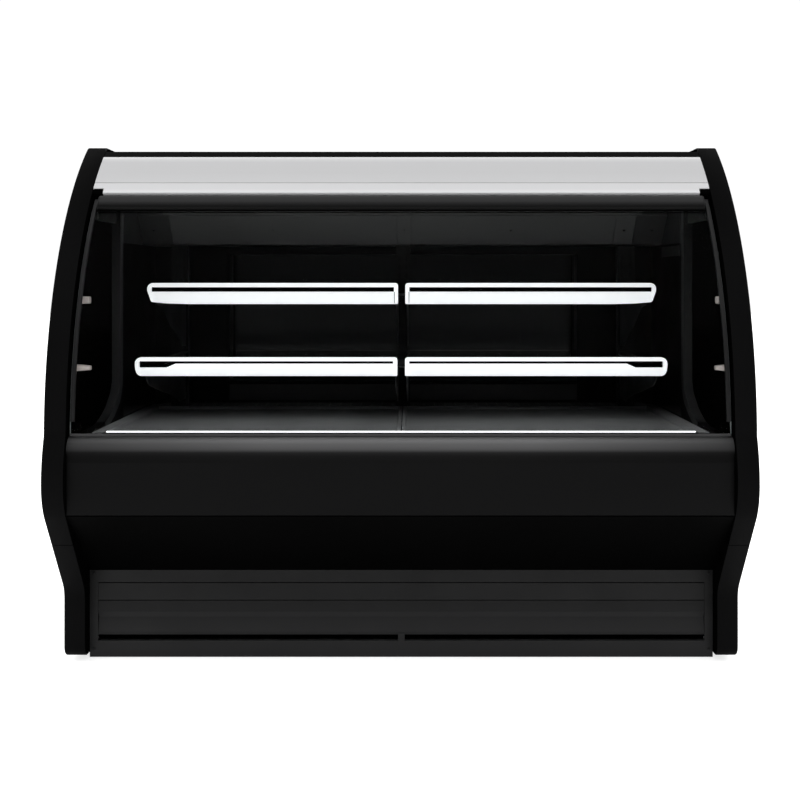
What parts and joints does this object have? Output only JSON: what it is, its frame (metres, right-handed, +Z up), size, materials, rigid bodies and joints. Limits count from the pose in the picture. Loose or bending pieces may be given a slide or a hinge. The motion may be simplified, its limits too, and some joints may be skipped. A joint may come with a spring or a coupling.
{
  "type": "refrigerated deli case",
  "caption": "Curved-glass refrigerated deli display case with rounded black end panels, lit glass shelves on two tiers, a tilting front glass and sliding rear doors.",
  "frame": {"origin": "on the floor, at the middle of the footprint", "axes": "+Z up, +X to the customer's right, -Y towards the customer, +Y towards the staff side"},
  "size_m": [1.6, 1.05, 1.246],
  "materials": {
    "moulded_end": "satin black moulded shell over a foam core",
    "painted_steel": "satin black powder coat",
    "shelf_steel": "satin black powder coat",
    "silver_sheet": "fine brushed silver sheet",
    "grey_anodised": "dark grey anodised, satin",
    "black_liner": "satin black coated liner",
    "black_plastic": "fine moulded grain",
    "deck_steel": "satin grey coat",
    "stainless": "brushed",
    "aluminium": "mill finish",
    "fins": "thin bare fins",
    "tub_skin": "coated skin over insulating foam",
    "clear_glass": "clear toughened glass, polished edges",
    "tinted_glass": "dark tinted double glazing",
    "lit_rail": "white diffuser, lit from inside",
    "black_enamel": "gloss black enamel",
    "fan_plastic": "moulded",
    "rubber": "matt"
  },
  "bodies": {
    "cabinet": {"end_panel_left": "moulded_end", "end_panel_right": "moulded_end", "front_bumper": "painted_steel", "undercut_panel": "painted_steel", "kick_grille": "painted_steel", "top_panel": "painted_steel", "rear_service_panel": "painted_steel", "base_tray": "painted_steel", "upright_left": "shelf_steel", "upright_centre": "shelf_steel", "upright_right": "shelf_steel", "bracket_upper_left": "shelf_steel", "bracket_upper_centre": "shelf_steel", "bracket_upper_right": "shelf_steel", "bracket_lower_left": "shelf_steel", "bracket_lower_centre": "shelf_steel", "bracket_lower_right": "shelf_steel", "canopy_panel": "silver_sheet", "header_duct": "black_liner", "side_liner_left": "black_liner", "side_liner_right": "black_liner", "rear_wall": "black_liner", "control_panel": "black_plastic", "return_air_grille": "black_plastic", "deck_pan_left": "deck_steel", "deck_pan_right": "deck_steel", "door_track_lower": "stainless", "drain_pan": "stainless", "door_track_upper": "aluminium", "evaporator_fan_shroud": "aluminium", "evaporator_coil": "fins", "condenser_coil": "fins", "insulated_tub": "tub_skin", "shelf_upper_left": "clear_glass", "shelf_upper_right": "clear_glass", "shelf_lower_left": "clear_glass", "shelf_lower_right": "clear_glass", "shelf_rail_upper_left": "lit_rail", "shelf_rail_upper_right": "lit_rail", "shelf_rail_lower_left": "lit_rail", "shelf_rail_lower_right": "lit_rail", "compressor": "black_enamel", "condenser_fan_shroud": "black_enamel", "levelling_foot_1": "rubber", "levelling_foot_2": "rubber", "levelling_foot_3": "rubber", "levelling_foot_4": "rubber"},
    "front_glass": {"front_glass": "clear_glass", "glass_top_rail": "grey_anodised", "glass_pivot_left": "black_plastic", "glass_pivot_right": "black_plastic"},
    "rear_door_left": {"rear_door_frame_left": "grey_anodised", "rear_door_glass_left": "tinted_glass"},
    "rear_door_right": {"rear_door_frame_right": "grey_anodised", "rear_door_glass_right": "tinted_glass"},
    "evaporator_fan": {"evaporator_fan": "fan_plastic"},
    "condenser_fan": {"condenser_fan": "fan_plastic"},
    "power_switch": {"power_switch": "black_plastic"},
    "light_switch": {"light_switch": "black_plastic"},
    "thermostat_knob": {"thermostat_knob": "black_plastic"}
  },
  "joints": [
    {"name": "front_glass_tilt", "type": "hinge", "parent": "cabinet", "child": "front_glass", "pos_m": [0, -0.4848, 0.565], "axis": [1, 0, 0], "range_deg": [0, 50]},
    {"name": "rear_door_left_slide", "type": "slide", "parent": "cabinet", "child": "rear_door_left", "axis": [1, 0, 0], "range_m": [0, 0.49]},
    {"name": "rear_door_right_slide", "type": "slide", "parent": "cabinet", "child": "rear_door_right", "axis": [-1, 0, 0], "range_m": [0, 0.49]},
    {"name": "evaporator_fan_spin", "type": "hinge", "parent": "cabinet", "child": "evaporator_fan", "pos_m": [0, 0.035, 0.47], "axis": [0, 1, 0], "continuous": true},
    {"name": "condenser_fan_spin", "type": "hinge", "parent": "cabinet", "child": "condenser_fan", "pos_m": [-0.35, -0.147, 0.19], "axis": [0, 1, 0], "continuous": true},
    {"name": "power_switch_rock", "type": "hinge", "parent": "cabinet", "child": "power_switch", "pos_m": [0.47, 0.457, 0.25], "axis": [1, 0, 0], "range_deg": [0, 16]},
    {"name": "light_switch_rock", "type": "hinge", "parent": "cabinet", "child": "light_switch", "pos_m": [0.53, 0.457, 0.25], "axis": [1, 0, 0], "range_deg": [0, 16]},
    {"name": "thermostat_knob_turn", "type": "hinge", "parent": "cabinet", "child": "thermostat_knob", "pos_m": [0.62, 0.46, 0.25], "axis": [0, -1, 0], "range_deg": [0, 270]}
  ]
}
